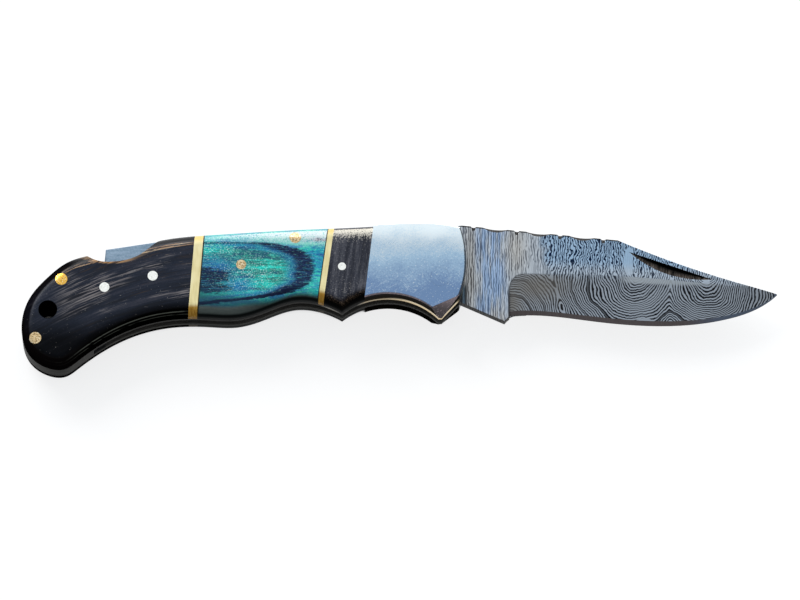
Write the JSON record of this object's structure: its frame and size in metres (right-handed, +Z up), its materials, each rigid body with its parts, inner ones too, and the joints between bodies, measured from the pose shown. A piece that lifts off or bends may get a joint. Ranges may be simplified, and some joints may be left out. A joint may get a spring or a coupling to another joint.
{
  "type": "folding pocket knife",
  "caption": "Folding lock-back pocket knife: clip-point patterned steel blade, polished bolsters, finger-grooved handle of dyed wood scales with pale spacers, lanyard hole.",
  "frame": {"origin": "on the blade's pivot axis, at the left side's outer face, on which the knife lies", "axes": "+X along the open knife to the blade's tip, +Y to the spine, +Z up from the left side to the right side"},
  "size_m": [0.1887, 0.038, 0.014],
  "materials": {
    "layered_steel": "etched, with light and dark layers in waves",
    "polished_steel": "polished, fine scratches",
    "spring_steel": "brushed",
    "liner_steel": "brushed, dulled",
    "pin_brass": "ground flush",
    "pin_nickel": "ground flush",
    "dark_wood": "laminated, polished",
    "blue_green_wood": "dyed, polished",
    "pale_spacer": "polished bone"
  },
  "bodies": {
    "handle": {"blade_pivot_pin": "polished_steel", "back_spring": "spring_steel", "butt_spacer": "liner_steel", "lock_bar_pin": "pin_brass", "centre_pin": "pin_brass", "upper_butt_pin": "pin_brass", "lower_butt_pin": "pin_brass", "front_spring_pin": "pin_nickel", "rear_spring_pin": "pin_nickel", "right_liner": "liner_steel", "right_bolster": "polished_steel", "right_front_scale": "dark_wood", "right_front_spacer": "pale_spacer", "right_centre_scale": "blue_green_wood", "right_rear_spacer": "pale_spacer", "right_rear_scale": "dark_wood", "right_front_scale_pin": "pin_nickel", "left_liner": "liner_steel", "left_bolster": "polished_steel", "left_front_scale": "dark_wood", "left_front_spacer": "pale_spacer", "left_centre_scale": "blue_green_wood", "left_rear_spacer": "pale_spacer", "left_rear_scale": "dark_wood", "left_front_scale_pin": "pin_nickel"},
    "blade": {"blade": "layered_steel"},
    "lock_bar": {"lock_bar": "spring_steel"}
  },
  "joints": [
    {"name": "blade_fold", "type": "hinge", "parent": "handle", "child": "blade", "pos_m": [0, 0, 0.007], "axis": [0, 0, -1], "range_deg": [0, 169]},
    {"name": "lock_release", "type": "hinge", "parent": "handle", "child": "lock_bar", "pos_m": [-0.03616, 0.01023, 0.007], "axis": [0, 0, 1], "range_deg": [0, 4], "stiffness_Nm_per_rad": 1.5, "deforming": ["back_spring"]}
  ]
}
